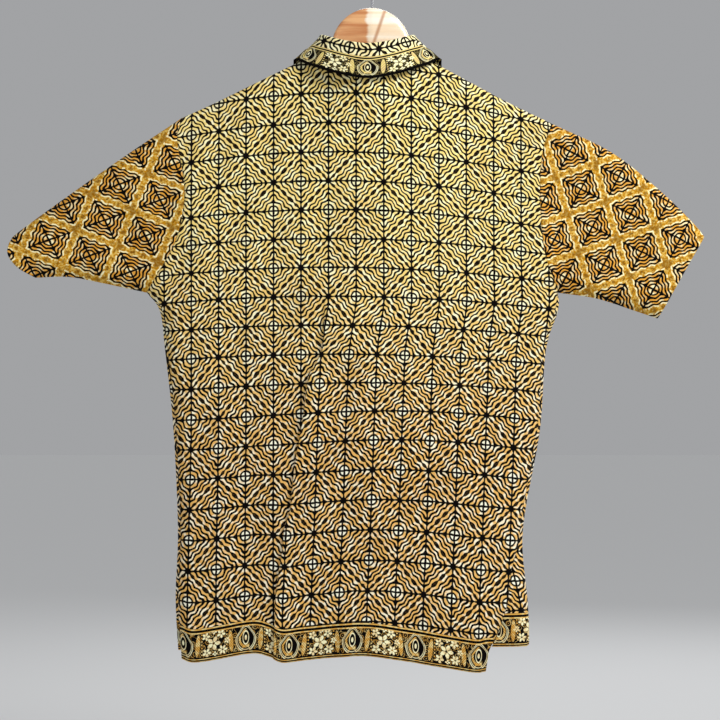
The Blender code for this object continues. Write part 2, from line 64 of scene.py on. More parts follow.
# ------------ sizes shared with the part
CROWN = 62.0
SEAM = 0.3
BODY_DEPTH, SHOULDER_DEPTH, SLEEVE_DEPTH = 18.0, 11.0, 15.0
OPENING_OUT, NECK_BULGE, TOP_ROLL, SIDE_ROLL = 120.0, 13.0, 16.0, 26.0
NECK_LEVEL, NECK_SPREAD, NECK_OVAL = 80.0, (48.0, 62.0), (60.0, 30.0)
SLEEVE_FROM, SLEEVE_BLEND, SLEEVE_FOOT = 225.0, 50.0, 460.0
HANGER_BEND, HANGER_REACH, HANGER_SET_BACK = 0.10, 26.0, 3.0
CENTRE, OVERLAP, LAP_LIFT, LAP_BLEND = -6.0, 15.0, 2.3, (17.0, 60.0)
NECK_SCOOP_BACK, NECK_SCOOP_FRONT, NECK_HALF, NECK_POINT = 20.0, 75.0, 61.5, 57.5
VENT_TOP, VENT_GAP = 812.0, 1.2
FRONT_HEM_LEFT, FRONT_HEM_RIGHT = 846.0, 840.0
UNDERARM = 374.0

Lines = namedtuple("Lines", "shoulder armhole sleeve_top cuff sleeve_under side")
LEFT = Lines(
    shoulder=[(-66, 56), (-124, 83), (-205, 122), (-252, 143)],
    armhole=[(-252, 143), (-257, 172), (-249, 222), (-248, 256), (-260, 308), (-298, 374)],
    sleeve_top=[(-252, 143), (-320, 188), (-395, 240), (-468, 293), (-480, 306)],
    cuff=[(-480, 306), (-481, 324), (-468, 341), (-446, 354)],
    sleeve_under=[(-446, 354), (-403, 353), (-358, 361), (-298, 374)],
    side=[(-298, 374), (-281, 398), (-274, 450), (-263, 555), (-257, 686), (-260, 777),
          (-256, 857)])
RIGHT = Lines(
    shoulder=[(57, 59), (104, 83), (178, 122), (237, 150)],
    armhole=[(237, 150), (224, 192), (221, 250), (227, 320), (246, 374)],
    sleeve_top=[(237, 150), (317, 188), (383, 240), (425, 281), (440, 299)],
    cuff=[(440, 299), (419, 335), (396, 376), (378, 408)],
    sleeve_under=[(378, 408), (351, 399), (298, 382), (246, 374)],
    side=[(246, 374), (246, 398), (230, 450), (222, 555), (203, 660), (199, 712),
          (206, 785), (208, 835)])
SIDE_SEAM_LEFT = [(374, 0), (392, 4), (857, 4)]
SIDE_SEAM_RIGHT = [(374, 0), (392, 4), (700, 4), (747, 20), (784, 28), (821, 42),
                   (845, 54), (872, 58)]
BACK_HEM = [(-252, 857), (-230, 861), (-162, 849), (-137, 852), (-118, 860), (-86, 857),
            (-11, 851), (51, 859), (130, 873), (150, 872)]

# The collar's sections from the back's middle to the front: how far out, forward and down
# its fold line is, and then its lower edge.
COLLAR = [
    (0, -31, 50, 0, -34, 95.5),
    (28, -28, 46.5, 38, -31, 89.5),
    (50, -17, 40, 76, -17, 77),
    (61, 2, 36, 97, 6, 68.5),
    (54, 19, 46, 92, 27, 100),
    (36, 30, 78, 78, 36, 150),
    (5, 34, 116, 50, 38, 186),
]
FOLD_RADIUS, FALL_CLEARANCE, COLLAR_RISE = 2.2, 2.6, 1.8
BUTTONS, FIRST_BUTTON, BUTTON_SPACING, BUTTON_RADIUS, BUTTON_THICKNESS = 6, 158.0, 104.0, 5.6, 2.6

CROWN_RADIUS, WOOD_HALF, HANGER_TILT = 52.0, 6.0, math.radians(1.7)
ARM = [(52.5, 62, 104), (66, 68, 107), (124, 95, 128), (205, 135, 162), (219, 144, 157)]
CROWN_HOLLOW, HOLLOW_HALF = 3.0, 35.0
WOOD_TURNS, WOOD_SQUARENESS = 36, 0.62      # a lower power gives squarer edges
WIRE_RADIUS, HOOK_RADIUS, HOOK_BEND, HOOK_END = 1.7, 21.7, 6.0, math.radians(196)

# ------------ sizes of the visible cloth
CLOTH = 0.8             # thickness of the cotton that shows
SHOULDER_ROWS, ARMHOLE_ROWS, SIDE_ROWS, VENT_ROWS = 22, 56, 118, 14
LEFT_COLUMNS, FOLD_COLUMNS, RIGHT_COLUMNS = 62, 40, 74
FRONT_COLUMNS, WRAP_COLUMNS = 74, 12
SLEEVE_AROUND, SLEEVE_ALONG = 56, 84
COLLAR_STATIONS, COLLAR_FALL = 150, 14

# The deep fold down the back: the edge that shows, and how much cloth it hides.
FOLD_LINE = [(-22, 60), (-48, 210), (-60, 330), (-63, 411), (-67, 454), (-82, 481),
             (-91, 538), (-96, 569), (-101, 597), (-105, 632), (-108, 662), (-115, 683),
             (-118, 715), (-126, 767), (-128, 809), (-130, 872)]
FOLD_HIDES = [(380, 0), (417, 5), (455, 10), (530, 14), (690, 20), (772, 24), (872, 27)]
FOLD_TURN = 2.3         # half the length of cloth that turns round each edge of the fold
FOLD_REACH = 24.0       # how far from the fold the finer columns go
FOLD_SETTLES, SETTLE_EASE = 70.0, 10.0      # over which the cloth right of it lies back
HEM_WAVE, HEM_WAVE_LENGTH, HEM_WAVE_REACH = 2.5, 31.0, 60.0     # how the hem stands out

Crease = namedtuple("Crease", "top foot rise width")
BACK_CREASES = [
    Crease((-38, 640), (-36, 872), 4.0, 9.0),
    Crease((130, 600), (96, 872), 5.0, 34.0),
    Crease((-200, 420), (-215, 860), 2.2, 26.0),
    Crease((30, 520), (18, 860), 2.4, 22.0),
    Crease((190, 430), (150, 760), 2.0, 18.0),
]

# The print: one figure's width and height, and where its columns and rows start.
REPEAT_ACROSS, REPEAT_DOWN = 36.17, 38.87
FIRST_COLUMN, FIRST_ROW = -238.1, 151.7
PRINT_HEIGHT = 661.0
TOP_SAG, SAG_FADES, EVEN_SAG, MIDDLE_COLUMN = 0.55, 190.0, 0.1, 5     # rows droop away from it
ROW_DRIFT, DRIFT_BIAS = 0.2, 1.3        # what the count of rows gains half-way down
HEM_FROM, HEM_BLEND = 520.0, 330.0
HEM_PULL = 0.6          # how far the rows follow the hem's waves
HEM_FLARE = 0.05        # how much wider the columns left of the fold get towards the hem
RIGHT_SPREAD, SPREAD_FROM, SPREAD_BLEND = 0.019, 300.0, 250.0       # the same, right of it
ROW_SWAY, SWAY_ACROSS, SWAY_LENGTH = 5.6, -82.0, 603.0      # one slow wave in the low rows
SWAY_FROM, SWAY_BLEND = 430.0, 140.0
FRONT_PRINT_START = (217.0, 753.7)      # where the right front's columns and rows start
BORDER_HEIGHT, BORDER_REPEAT = 44.0, 83.0
COLLAR_BORDER, COLLAR_STRETCH = 28.0, 1.2

# A button's profile as (radius, height) pairs, its holes and its threads.
BUTTON_PROFILE = [
    (0.01, 0), (4.4, 0), (5.3, 0.35), (BUTTON_RADIUS, 1.0), (BUTTON_RADIUS, 1.7),
    (5.3, 2.35), (4.7, BUTTON_THICKNESS), (4.2, 2.3), (3.7, 1.9), (0.01, 1.8),
]
BUTTON_TURNS, HOLE_TURNS, HOLES = 40, 10, 4
HOLE_OUT, HOLE_RADIUS, HOLE_RIM = 1.35, 0.55, 0.18
THREAD_RADIUS, THREAD_HALF = 0.32, 1.15


# ------------ curves and fields
def smooth(t):
    t = np.clip(t, 0, 1)
    return t * t * (3 - 2 * t)


def even(count):
    return np.linspace(0, 1, count + 1)


def round_turn(count):
    """Angles evenly spaced once round."""
    return 2 * math.pi * np.arange(count) / count


def unit(vectors):
    return vectors / np.linalg.norm(vectors, axis=-1, keepdims=True)


def length_along(path):
    return np.r_[0, np.cumsum(np.linalg.norm(np.diff(path, axis=0), axis=1))]


def towards_ends(count, pull=1.0):
    t = even(count)
    return (1 - pull) * t + pull * (1 - np.cos(math.pi * t)) / 2


def curve(points, fractions, fine=24):
    """Points on a smooth curve through the given ones, at these fractions of its length."""
    knots = np.array(points, float)
    knots = np.vstack([2 * knots[0] - knots[1], knots, 2 * knots[-1] - knots[-2]])
    step = np.linspace(0, 1, fine, endpoint=False)[:, None]
    pieces = []
    for a, b, c, d in zip(knots, knots[1:], knots[2:], knots[3:]):
        bend = 2 * a - 5 * b + 4 * c - d + step * (3 * (b - c) + d - a)
        pieces.append(b + 0.5 * step * (c - a + step * bend))
    path = np.vstack(pieces + [knots[-2:-1]])
    length = length_along(path)
    wanted = np.asarray(fractions) * length[-1]
    return np.column_stack([np.interp(wanted, length, column) for column in path.T])


def read_off(path, at, fine=300):
    """The first column of a curve through (value, position) points, read at positions."""
    line = curve(path, even(fine))
    return np.interp(at, line[:, 1], line[:, 0])


def distance(across, drop, path):
    """Distance from each place to a polyline."""
    nearest = np.full(np.shape(across), 1e9)
    for (x1, d1), (x2, d2) in zip(path, path[1:]):
        run_x, run_d = x2 - x1, d2 - d1
        along = ((across - x1) * run_x + (drop - d1) * run_d) / (run_x ** 2 + run_d ** 2)
        along = np.clip(along, 0, 1)
        off = np.hypot(across - x1 - along * run_x, drop - d1 - along * run_d)
        nearest = np.minimum(nearest, off)
    return nearest


def closing_line(lines, first, second):
    start, rest = getattr(lines, first), getattr(lines, second)
    return np.vstack([curve(start, even(30)), curve(rest, even(30))[1:]])


TOP_FOLDS = [closing_line(lines, "shoulder", "sleeve_top") for lines in (LEFT, RIGHT)]
LOW_FOLDS = [closing_line(lines, "sleeve_under", "side") for lines in (LEFT, RIGHT)]


def roll(share):
    return np.sqrt(1 - (1 - np.clip(share, 0, 1)) ** 2)


def half_depth(across, drop):
    """Half the garment's thickness at a place; 0 along the folds that close it."""
    top = np.minimum(*[distance(across, drop, path) for path in TOP_FOLDS])
    low = np.minimum(*[distance(across, drop, path) for path in LOW_FOLDS])
    body = SHOULDER_DEPTH + (BODY_DEPTH - SHOULDER_DEPTH) * smooth(top / OPENING_OUT)
    in_sleeve = smooth((np.abs(across - CENTRE) - SLEEVE_FROM) / SLEEVE_BLEND)
    depth = body + (SLEEVE_DEPTH - body) * in_sleeve * (drop < SLEEVE_FOOT)
    neck = np.exp(-((across - CENTRE) / NECK_SPREAD[0]) ** 2
                  - ((drop - NECK_LEVEL) / NECK_SPREAD[1]) ** 2)
    return (depth + NECK_BULGE * neck) * roll(top / TOP_ROLL) * roll(low / SIDE_ROLL)


def middle(across):
    lean = HANGER_BEND * (np.hypot(across, 40) - 40)
    return HANGER_REACH * np.tanh(lean / HANGER_REACH)


def surface(across, drop, side):
    """How far towards the front the cloth's outside lies at each place."""
    return middle(across) + side * half_depth(across, drop)


def ripples(across, drop, seed, size=46.0):
    """Slow uneven waves, one or two millimetres high."""
    golden_angle = 2.399
    total = np.zeros(np.shape(across))
    for k in range(4):
        turn = seed + golden_angle * k
        reach = size * (1 + 0.37 * k)
        phase = (across * np.cos(turn) + 0.55 * drop * np.sin(turn)) / reach
        total += np.sin(2 * math.pi * phase + 1.7 * k + seed) / (1 + 0.5 * k)
    return 0.8 * total


def creases(across, drop, table):
    """How far the creases lift the cloth, each growing from its top to its foot."""
    lifted = np.zeros(np.shape(across))
    for crease in table:
        share = (drop - crease.top[1]) / (crease.foot[1] - crease.top[1])
        line = crease.top[0] + share * (crease.foot[0] - crease.top[0])
        line = line + 0.25 * crease.width * np.sin(7 * share + crease.rise)
        lifted += crease.rise * np.exp(-((across - line) / crease.width) ** 2) * smooth(share)
    return lifted


# ------------ meshes
def in_metres(first, second):
    """A UV map from two grids of millimetres."""
    return np.stack([first * MM, second * MM], axis=-1)


def add_object(name, mesh, materials):
    made = bpy.data.objects.new(name + LOOK, mesh)
    bpy.context.scene.collection.objects.link(made)
    for each in materials:
        mesh.materials.append(each)
    return made


def world(places):
    """World positions of (across, towards the front, drop) points."""
    placed = np.array(places, float)
    placed[..., 1] += HANGER_SET_BACK
    placed[..., 2] = -CROWN - placed[..., 2]
    return placed * MM


def grid_object(name, grid, maps, materials, closed=False, flip=False, thickness=CLOTH):
    """A cloth piece from a grid of points; maps gives each UV map's grid of (u, v)."""
    rows, columns = grid.shape[:2]
    last = columns if closed else columns - 1
    corners = []
    for row in range(rows - 1):
        for column in range(last):
            right = (column + 1) % columns
            face = [row * columns + column, (row + 1) * columns + column,
                    (row + 1) * columns + right, row * columns + right]
            corners.append(face[::-1] if flip else face)
    mesh = bpy.data.meshes.new(name)
    mesh.from_pydata(world(grid).reshape(-1, 3).tolist(), [], corners)
    flat = np.array(corners).ravel()
    for label, values in maps.items():
        layer = mesh.uv_layers.new(name=label)
        layer.data.foreach_set("uv", values.reshape(-1, 2)[flat].ravel())
    mesh.shade_smooth()
    made = add_object(name, mesh, materials)
    if thickness:
        shell = made.modifiers.new("Cloth", "SOLIDIFY")
        shell.thickness = thickness * MM
        shell.offset = -1
    return made


def join(name, parts, materials):
    """One object from (points in world units, faces, material number) parts."""
    points, faces, numbers = [], [], []
    for part_points, part_faces, number in parts:
        start = len(points)
        points += [tuple(p) for p in part_points]
        faces += [tuple(start + i for i in face) for face in part_faces]
        numbers += [number] * len(part_faces)
    mesh = bpy.data.meshes.new(name)
    mesh.from_pydata(points, [], faces)
    mesh.polygons.foreach_set("material_index", numbers)
    model = bmesh.new()
    model.from_mesh(mesh)
    bmesh.ops.recalc_face_normals(model, faces=model.faces)
    model.to_mesh(mesh)
    model.free()
    mesh.shade_smooth()
    mesh.set_sharp_from_angle(angle=math.radians(50))
    return add_object(name, mesh, materials)


def rings(sections, close_ends=True):
    """Points and faces of a tube through rings of points."""
    count, turns = sections.shape[:2]
    faces = []
    for ring in range(count - 1):
        for k in range(turns):
            a, b = ring * turns + k, ring * turns + (k + 1) % turns
            faces.append((a, b, b + turns, a + turns))
    if close_ends:
        faces += [tuple(range(turns)), tuple(range((count - 1) * turns, count * turns))]
    return sections.reshape(-1, 3), faces


# ------------ the print's coordinates
def back_print(cloth_across, across, drop):
    """Columns and rows of the print on the back, which sags between the shoulders."""
    fold = read_off(FOLD_LINE, drop[:, 0])[:, None]
    near_hem = smooth((drop - HEM_FROM) / HEM_BLEND)
    spread = RIGHT_SPREAD * smooth((drop - SPREAD_FROM) / SPREAD_BLEND)
    cloth = cloth_across - HEM_FLARE * near_hem * np.minimum(cloth_across - fold, 0)
    cloth = cloth - spread * np.maximum(cloth_across - fold, 0)
    column = (cloth - FIRST_COLUMN) / REPEAT_ACROSS
    sag = TOP_SAG * np.exp(-(drop - FIRST_ROW) / SAG_FADES) + EVEN_SAG
    sag = sag * (column - MIDDLE_COLUMN) ** 2
    hem = hem_drop(across) - BACK_HEM[0][1]
    sway = -ROW_SWAY * np.sin(2 * math.pi * (across - SWAY_ACROSS) / SWAY_LENGTH)
    level = drop - sag - HEM_PULL * hem * near_hem
    level = level - sway * smooth((drop - SWAY_FROM) / SWAY_BLEND)
    share = np.clip((level - FIRST_ROW) / PRINT_HEIGHT, 0, 1)
    drift = ROW_DRIFT * np.sin(math.pi * share ** DRIFT_BIAS)
    return np.stack([column, (level - FIRST_ROW) / REPEAT_DOWN + drift], axis=-1)


def hem_drop(across):
    line = curve(BACK_HEM, even(200))
    return np.interp(across, line[:, 0], line[:, 1])


def body_maps(prints, across, drop, along, hem):
    return {"print": prints, "edge": in_metres(along, hem - drop),
            "place": in_metres(across, drop)}


# ------------ body panels
def row_ends(lines, seam, hem, sign):
    """Each row's end on the outline, the side seam's distance in from it, and half its gap."""
    armhole = beside(curve(lines.armhole, towards_ends(ARMHOLE_ROWS, 0.6)), sign * SEAM / 2)
    upper = np.vstack([curve(lines.shoulder, even(SHOULDER_ROWS))[:-1], armhole])
    drops = np.r_[np.linspace(UNDERARM, VENT_TOP, SIDE_ROWS + 1)[1:],
                  np.linspace(VENT_TOP, hem, VENT_ROWS + 1)[1:]]
    path = curve(lines.side, even(400))
    lower = np.column_stack([np.interp(drops, path[:, 1], path[:, 0]), drops])
    seam_drop, seam_inset = zip(*seam)
    inset = np.interp(drops, seam_drop, seam_inset)
    gap = np.where(drops > VENT_TOP, VENT_GAP, SEAM) / 2
    zeros = np.zeros(len(upper))
    return np.vstack([upper, lower]), np.r_[zeros, inset], np.r_[zeros, gap]


def beside(path, distance_out):
    run = np.gradient(path, axis=0)
    return path + distance_out * unit(np.column_stack([run[:, 1], -run[:, 0]]))


def fold_section(hides, steps):
    """A cross-section through the deep fold: across, and how far it stands out.

    The cloth turns back at one edge and forward again at the other; hides is the length
    of cloth that this takes out of sight, and steps the places along the cloth.
    """
    half = hides / 4
    turned = (smooth((steps + half) / (2 * FOLD_TURN) + 0.5)
              - smooth((steps - half) / (2 * FOLD_TURN) + 0.5))
    angle = math.pi * turned
    step = np.diff(steps)
    mean = (angle[1:] + angle[:-1]) / 2
    x = np.r_[0, np.cumsum(np.cos(mean) * step)]
    out = np.r_[0, np.cumsum(np.sin(mean) * step)]
    shown_edge = np.interp(half, steps, x)
    return x - shown_edge, out


def back_row(left_end, right_end, fold_at, hides, steps):
    """One row of the back: where it is across, how far it stands out, and its cloth."""
    x, out = fold_section(hides, steps)
    x = x + fold_at
    before = np.linspace(left_end, x[0], LEFT_COLUMNS + 1)[:-1]
    after = np.linspace(x[-1], right_end, RIGHT_COLUMNS + 1)[1:]
    hidden = (steps[-1] - steps[0]) - (x[-1] - x[0])
    settle = out[-1] * (1 - smooth((after - x[-1] + FOLD_REACH) / FOLD_SETTLES))
    lying = out - out[-1] * smooth((x - fold_at) / FOLD_SETTLES) * (steps > 0)
    settle = settle + (lying[-1] - settle[0]) * np.exp(-(after - x[-1]) / SETTLE_EASE)
    across = np.r_[before, x, after]
    stands = np.r_[np.zeros(len(before)), lying, settle]
    return across, stands, np.r_[before, x[0] + steps - steps[0], after + hidden]


def back_panel():
    """The back on its surface, with its deep fold, creases and waving hem."""
    left, left_inset, left_gap = row_ends(LEFT, SIDE_SEAM_LEFT, BACK_HEM[0][1], 1)
    right, right_inset, right_gap = row_ends(RIGHT, SIDE_SEAM_RIGHT, BACK_HEM[-1][1], -1)
    left[:, 0] += left_inset + left_gap
    right[:, 0] -= right_inset + right_gap
    rows = len(left)
    level = (left[:, 1] + right[:, 1]) / 2
    fold_across = read_off(FOLD_LINE, level)
    hide_drops, hide_sizes = zip(*FOLD_HIDES)
    hides = np.interp(level, hide_drops, hide_sizes)
    steps = np.linspace(-FOLD_REACH, FOLD_REACH, FOLD_COLUMNS + 1)
    table = [back_row(*row, steps) for row in zip(left[:, 0], right[:, 0], fold_across, hides)]
    across, stands, cloth = (np.array(column) for column in zip(*table))
    share = (across - left[:, :1]) / (right[:, :1] - left[:, :1])
    drop = left[:, 1:] + (right[:, 1:] - left[:, 1:]) * share
    row = np.arange(rows)[:, None]
    neck = np.clip(1 - row / SHOULDER_ROWS, 0, 1) ** 1.2
    drop = drop + NECK_SCOOP_BACK * neck * (1 - np.abs(2 * share - 1) ** 2.6)
    first_low = SHOULDER_ROWS + ARMHOLE_ROWS
    low = np.clip((row - first_low) / (rows - 1 - first_low), 0, 1) ** 3
    hem = hem_drop(across[-1])
    drop = drop + low * (hem - drop[-1])
    calm = roll(np.minimum(share, 1 - share) / 0.06) * smooth((drop - 90) / 90)
    relief = creases(across, drop, BACK_CREASES) + ripples(across, drop, 0.6)
    y = surface(across, drop, BACK) - stands - calm * relief
    near_hem = smooth((drop - hem_drop(across) + HEM_WAVE_REACH) / HEM_WAVE_REACH)
    y = y - near_hem * HEM_WAVE * np.sin(across / HEM_WAVE_LENGTH + 0.8) * calm
    grid = np.stack([across, y, drop], axis=-1)
    close_shoulders(grid, [0, -1], BACK)
    maps = body_maps(back_print(cloth, across, drop), across, drop, cloth,
                     hem_drop(across) + 0 * drop)
    return grid_object("back_panel", grid, maps, [BODY_CLOTH]), grid


def close_shoulders(grid, columns, facing):
    """Brings the edge columns above the armhole onto the shoulder seam."""
    rows = list(range(SHOULDER_ROWS + 1)) + [SHOULDER_ROWS + ARMHOLE_ROWS]
    for column in columns:
        grid[rows, column, 1] = middle(grid[rows, column, 0]) + facing * SEAM / 2


def lap_lift(across, side):
    near, far = LAP_BLEND
    return LAP_LIFT * (side > 0) * (1 - smooth((np.abs(across - CENTRE) - near) / (far - near)))


FRONT_CREASES = [
    Crease((110, 430), (128, 850), 5.0, 26.0),
    Crease((-150, 520), (-176, 850), 4.5, 24.0),
    Crease((-60, 600), (-66, 846), 2.5, 16.0),
    Crease((60, 560), (50, 840), 2.5, 18.0),
]


def front_panel(name, lines, seam, hem, sign, upper, shift):
    """One front; sign is +1 for the one that reaches from the left side to the right."""
    ends, inset, gap = row_ends(lines, seam, hem, sign)
    rows = len(ends)
    row = np.arange(rows)[:, None]
    wraps = inset[:, None] > 0
    step = even(WRAP_COLUMNS)
    first = np.where(wraps, (inset - gap)[:, None] * (1 - step), 4.0 * step)
    share = towards_ends(FRONT_COLUMNS - WRAP_COLUMNS, 0.3)[1:]
    reach = np.abs(CENTRE + sign * OVERLAP - ends[:, :1])
    rest = first[:, -1:] + (reach - first[:, -1:]) * share
    inward = np.hstack([first, rest])
    side = np.ones_like(inward)
    side[:, :WRAP_COLUMNS] = np.where(wraps, BACK, FRONT)
    across = ends[:, :1] + sign * inward
    part = np.clip(inward / np.abs(CENTRE - ends[:, :1]), 0, 1) * (side > 0)
    first_low = SHOULDER_ROWS + ARMHOLE_ROWS
    calm = smooth(row / first_low)
    shape = (1 - calm) * np.sqrt(1 - (1 - part) ** 2) + calm * smooth(part)
    scoop = NECK_SCOOP_FRONT * np.clip(1 - row / first_low, 0, 1) ** 1.5
    drop = ends[:, 1:] + scoop * shape
    quiet = smooth(part / 0.12) * smooth((drop - 150) / 90) * smooth((1 - part) / 0.12)
    relief = creases(across, drop, FRONT_CREASES) + ripples(across, drop, 2.1 + sign)
    y = surface(across, drop, side) + quiet * relief
    if upper:
        y = y + lap_lift(across, side)
    grid = np.stack([across, y, drop], axis=-1)
    close_shoulders(grid, [0], FRONT)
    steps = step[np.minimum(np.arange(inward.shape[1]), WRAP_COLUMNS)]
    behind = -(inset - gap)[:, None] * (1 - steps)
    cloth = ends[:, :1] + sign * np.where(side > 0, inward, behind)
    column = (cloth - shift[0]) / REPEAT_ACROSS
    prints = np.stack([column, (drop - shift[1]) / REPEAT_DOWN], axis=-1)
    maps = body_maps(prints, across, drop, cloth, hem)
    return grid_object(name, grid, maps, [BODY_CLOTH], flip=sign > 0), grid


# ------------ sleeves
SleevePrint = namedtuple("SleevePrint", "origin along around")
LEFT_SLEEVE_PRINT = SleevePrint(origin=(-333.3, 231.2), along=(-36.7, 13.1), around=(17.0, 34.1))
RIGHT_SLEEVE_PRINT = SleevePrint(origin=(290.3, 287.5), along=(32.75, 16.4),
                                 around=(-17.7, 33.4))


def sleeve(name, lines, sign, layout):
    """A tube of rings from the armhole to the cuff; sign is -1 on the left."""
    around = towards_ends(SLEEVE_AROUND, 0.85)
    along = even(SLEEVE_ALONG)
    head = beside(curve(lines.armhole, around), sign * SEAM / 2)
    cuff = curve(lines.cuff, around)
    top = curve(lines.sleeve_top, along)[:, None]
    under = curve(lines.sleeve_under[::-1], along)[:, None]
    top[0], under[0] = head[0], head[-1]
    u, v = along[:, None, None], around[None, :, None]
    corners = ((1 - u) * ((1 - v) * head[0] + v * head[-1])
               + u * ((1 - v) * cuff[0] + v * cuff[-1]))
    plan = (1 - u) * head + u * cuff + (1 - v) * top + v * under - corners
    ring = np.concatenate([plan, plan[:, -2:0:-1]], axis=1)
    side = np.ones(ring.shape[:2])
    side[:, :SLEEVE_AROUND + 1] = BACK
    across, drop = ring[..., 0], ring[..., 1]
    y = surface(across, drop, side)
    across_share = np.concatenate([around, around[-2:0:-1]])[None, :]
    calm = np.sin(math.pi * across_share) ** 0.7 * smooth((along[:, None]) / 0.12)
    y = y + side * calm * 1.3 * ripples(across, drop, 1.3 + sign + side, 58.0)
    for column in (0, SLEEVE_AROUND):
        y[:, column] = middle(across[:, column])
    grid = np.stack([across, y, drop], axis=-1)
    axes = np.array([layout.along, layout.around], float)
    counted = (ring - np.array(layout.origin)) @ np.linalg.inv(axes)
    maps = {"print": counted, "place": in_metres(across, drop)}
    return grid_object(name, grid, maps, [SLEEVE_CLOTH], closed=True, flip=sign > 0)


# ------------ collar
def neck_seam(back, left_front, right_front):
    """The panels' top edges, from the left front round to the right one."""
    def edge(grid, columns):
        return (grid[0] + COLLAR_RISE * unit(grid[0] - grid[1]))[columns]

    from_left = edge(left_front, slice(None, None, 4))
    from_right = edge(right_front, slice(None, None, 4))
    from_left = from_left[from_left[:, 0] < CENTRE - 1][::-1]
    from_right = from_right[from_right[:, 0] > CENTRE + 1]
    across_back = edge(back, slice(4, -4, 8))
    return np.vstack([from_left, across_back, from_right])


def neckline(across, side):
    out = np.clip(np.abs(across - CENTRE) / NECK_HALF, 0, 1)
    back = NECK_SCOOP_BACK * (1 - out ** 2.6)
    front = NECK_SCOOP_FRONT * np.sqrt(1 - out ** 2)
    return NECK_POINT + np.where(side > 0, front, back)


def off_the_panels(points):
    """Moves points of the collar's fall away from the panels until they clear them."""
    across, y, drop = points.T
    side = np.where(y < middle(across), BACK, FRONT)
    depth = half_depth(across, drop + FALL_CLEARANCE)
    over_panel = (depth > 0.3) & (drop > neckline(across, side) - 3)
    clear = np.where(over_panel, depth + FALL_CLEARANCE + lap_lift(across, side), 0)
    off = np.maximum(clear, side * (y - middle(across)))
    return np.column_stack([across, middle(across) + side * off, drop])


def collar(seam_points):
    """A stand that rises from the neck seam, a rolled fold, and a fall off the panels."""
    half = np.array(COLLAR, float)
    ends_to_middle = half[::-1].copy()
    ends_to_middle[:, [0, 3]] *= -1
    sections = np.vstack([ends_to_middle, half[1:]])
    share = even(COLLAR_STATIONS)
    fold = curve(sections[:, :3], share)
    edge = np.column_stack([np.interp(share, np.linspace(0, 1, 400), column)
                            for column in curve(sections[:, 3:], even(399)).T])
    seam = curve(seam_points, share, fine=6)
    for line in (fold, edge):
        line[:, 0] += CENTRE
    half_width, half_across = NECK_OVAL
    out = unit(np.column_stack([(fold[:, 0] - CENTRE) / half_width ** 2,
                                fold[:, 1] / half_across ** 2, np.zeros(len(fold))]))
    down = np.array([0, 0, FOLD_RADIUS])
    stand_top = fold - FOLD_RADIUS * out + down
    strip = [seam + part * (stand_top - seam) for part in (0, 0.25, 0.5, 0.75)]
    for turn in np.linspace(math.pi, 0, 7):
        strip.append(fold + FOLD_RADIUS * math.cos(turn) * out
                     + down * (1 - math.sin(turn)))
    outside = strip[-1]
    for part in even(COLLAR_FALL)[1:]:
        strip.append(off_the_panels(outside + part * (edge - outside)))
    grid = np.stack(strip, axis=1)
    length = length_along(fold)
    deep = np.linalg.norm(np.diff(grid, axis=1), axis=-1)
    deep = np.concatenate([np.zeros((len(grid), 1)), np.cumsum(deep, axis=1)], axis=1)
    from_edge = deep[:, -1:] - deep
    along = np.broadcast_to((length - length[-1] / 2)[:, None], deep.shape)
    maps = {"print": np.stack([along / REPEAT_ACROSS + 0.62,
                               from_edge / REPEAT_DOWN - 0.95], axis=-1),
            "edge": in_metres(along, from_edge),
            "place": in_metres(grid[..., 0], grid[..., 2])}
    return grid_object("collar", grid, maps, [COLLAR_CLOTH], thickness=0.9)


# ------------ buttons and hanger
def lathe(across, drop, profile, turns):
    """Rings round a line towards the front, through (radius, distance forward) pairs."""
    angle = round_turn(turns)
    return world([np.column_stack([across + radius * np.cos(angle), np.full(turns, y),
                                   drop + radius * np.sin(angle)]) for radius, y in profile])


def button(number):
    """A dished button with four holes, painted as dark discs of shade, and two stitches, on the
    upper front.
    """
    drop = FIRST_BUTTON + BUTTON_SPACING * number
    rest = surface(np.array([CENTRE]), np.array([drop]), FRONT)[0] + LAP_LIFT + 0.6
    profile = [(radius, rest + height) for radius, height in BUTTON_PROFILE]
    parts = [(*rings(lathe(CENTRE, drop, profile, BUTTON_TURNS)), 0)]
    # Each hole is a flat disc in the dish, dark with painted shade.
    disc = [(radius, rest + 1.86 + 0.02 * radius)
            for radius in (0.01, HOLE_RADIUS, HOLE_RADIUS + HOLE_RIM)]
    for k in range(HOLES):
        turn = math.pi / 4 + k * math.pi / 2
        across = CENTRE + HOLE_OUT * 1.2 * math.cos(turn)
        down = drop + HOLE_OUT * 1.2 * math.sin(turn)
        parts.append((*rings(lathe(across, down, disc, HOLE_TURNS), close_ends=False), 1))
    for sign in (-1, 1):
        path = np.array([[CENTRE + sign * HOLE_OUT * 0.85, rest + 1.7 + 0.75 * math.sin(t),
                          drop - THREAD_HALF * math.cos(t)] for t in np.linspace(0, math.pi, 9)])
        parts.append((*tube(path, THREAD_RADIUS, 8), 2))
    return join(f"button_{number + 1}", parts, [BUTTON, PAINTED_HOLE_SHADE, THREAD])


def tube(path, radius, turns):
    """Points and faces of a round tube along a path in one plane."""
    run = unit(np.gradient(path, axis=0))
    flat = np.array([0, 1, 0]) if np.ptp(path[:, 1]) < 1e-6 else np.array([1, 0, 0])
    sideways = np.cross(run, flat)
    angle = round_turn(turns)
    sections = np.array([place + radius * (np.cos(angle)[:, None] * side
                                           + np.sin(angle)[:, None] * flat)
                         for place, side in zip(path, sideways)])
    return rings(world(sections))


def tilt(points):
    """The hanger hangs a little lower on its right."""
    tilted = np.array(points, float)
    x, drop = tilted[..., 0].copy(), tilted[..., 2].copy()
    tilted[..., 0] = x * math.cos(HANGER_TILT) - drop * math.sin(HANGER_TILT)
    tilted[..., 2] = drop * math.cos(HANGER_TILT) + x * math.sin(HANGER_TILT)
    return tilted


